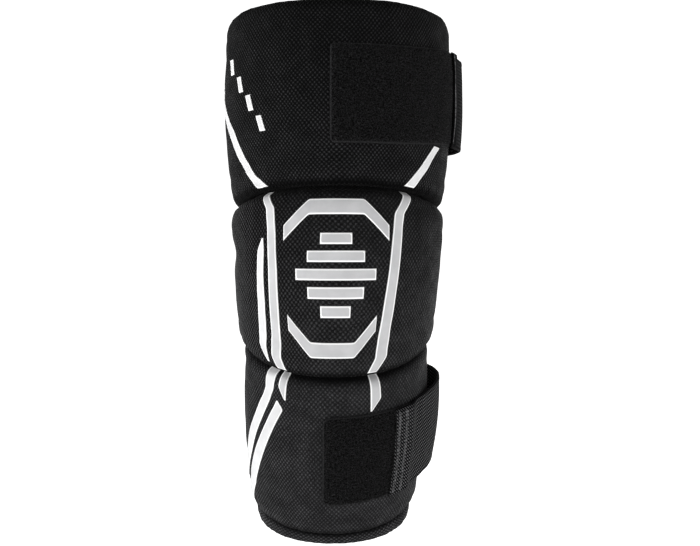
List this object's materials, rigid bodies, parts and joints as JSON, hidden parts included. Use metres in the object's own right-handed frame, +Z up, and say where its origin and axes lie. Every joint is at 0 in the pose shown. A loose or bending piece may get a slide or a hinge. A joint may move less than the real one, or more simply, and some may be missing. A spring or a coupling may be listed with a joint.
{
  "type": "lacrosse arm pad",
  "caption": "Padded sleeve for the arm with biceps, elbow and forearm pads, elastic straps that close with fleece tabs, and pale film stripes.",
  "frame": {"origin": "in the middle of the hollow at the elbow, on the arm's centreline", "axes": "+Z up along the upper arm, -Y out of the point of the elbow, +X towards the side where the straps close"},
  "size_m": [0.1318, 0.1189, 0.2844],
  "materials": {
    "spacer_mesh": "coarse dimpled mesh over foam",
    "stretch_knit": "fine matte stretch knit",
    "hem_knit": "dimpled knit, folded and sewn",
    "elastic_webbing": "fine diagonal rib",
    "loop_fleece": "short matte pile",
    "film_white": "satin bonded film",
    "film_grey": "satin bonded film"
  },
  "bodies": {
    "root": {"stretch_sleeve": "stretch_knit", "biceps_pad": "spacer_mesh", "elbow_pad": "spacer_mesh", "forearm_pad": "spacer_mesh", "wrist_hem": "hem_knit", "upper_strap_tab": "loop_fleece", "upper_elastic_strap": "elastic_webbing", "lower_strap_tab": "loop_fleece", "lower_elastic_strap": "elastic_webbing", "biceps_stripe_left": "film_white", "biceps_stripe_right": "film_white", "elbow_stripe_left": "film_grey", "elbow_stripe_right": "film_grey", "elbow_side_stripe": "film_white", "forearm_side_stripe": "film_white", "forearm_slant_stripe": "film_white", "forearm_point_left": "film_grey", "forearm_point_right": "film_grey", "elbow_frame_upper": "film_grey", "elbow_frame_lower": "film_grey", "elbow_bar_1": "film_grey", "elbow_bar_2": "film_grey", "elbow_bar_3": "film_grey", "elbow_bar_4": "film_grey", "elbow_bar_5": "film_grey", "biceps_tick_1": "film_white", "biceps_tick_2": "film_white", "biceps_tick_3": "film_white", "biceps_tick_4": "film_white"}
  },
  "joints": []
}
